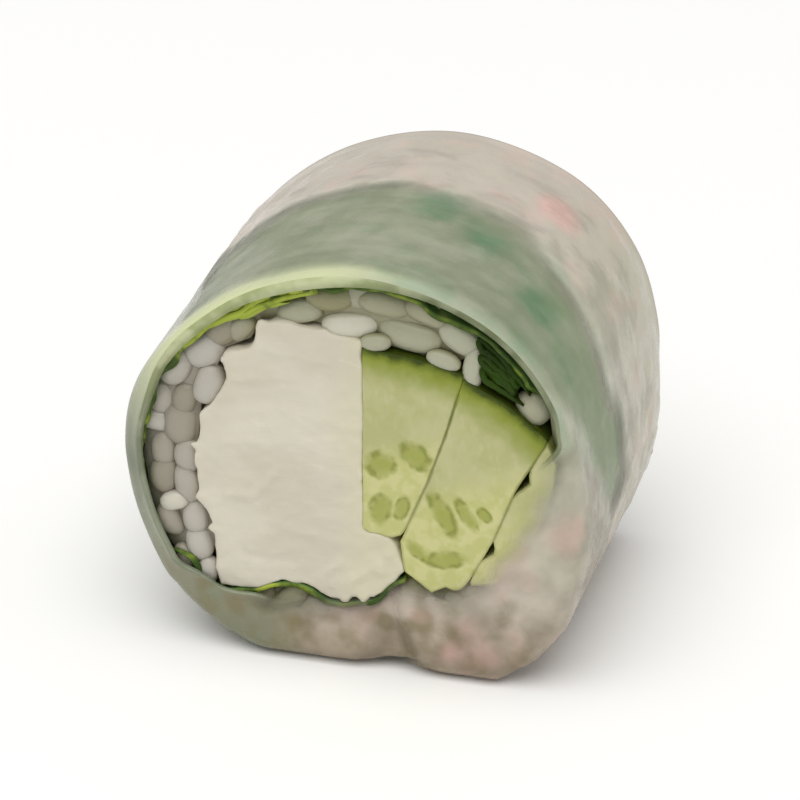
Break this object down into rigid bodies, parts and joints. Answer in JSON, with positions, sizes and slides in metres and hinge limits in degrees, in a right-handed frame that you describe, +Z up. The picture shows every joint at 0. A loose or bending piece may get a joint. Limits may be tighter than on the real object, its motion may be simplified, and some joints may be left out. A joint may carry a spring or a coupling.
{
  "type": "sliced rice paper roll",
  "caption": "Slice of a rice paper roll lying on its side: wet rice paper round lettuce, rice, cream cheese and cucumber sticks.",
  "frame": {"origin": "under the middle of the slice, on the surface that it lies on", "axes": "+Z up; the cut face that shows looks along -Y; +X runs across that face to the right; the roll's length runs along Y"},
  "size_m": [0.0462, 0.0344, 0.042],
  "materials": {
    "rice_paper": "wet, milky and translucent, glossy",
    "lettuce": "damp leaf, dark and light green",
    "rice": "moist cooked grains, waxy",
    "cream_cheese": "soft and dull, torn by the knife",
    "cucumber": "wet flesh, dark green under the skin"
  },
  "bodies": {
    "root": {"rice_paper": "rice_paper", "lettuce": "lettuce", "lettuce_fold": "lettuce", "rice": "rice", "cream_cheese": "cream_cheese", "cucumber_1": "cucumber", "cucumber_2": "cucumber", "cucumber_3": "cucumber"}
  },
  "joints": []
}
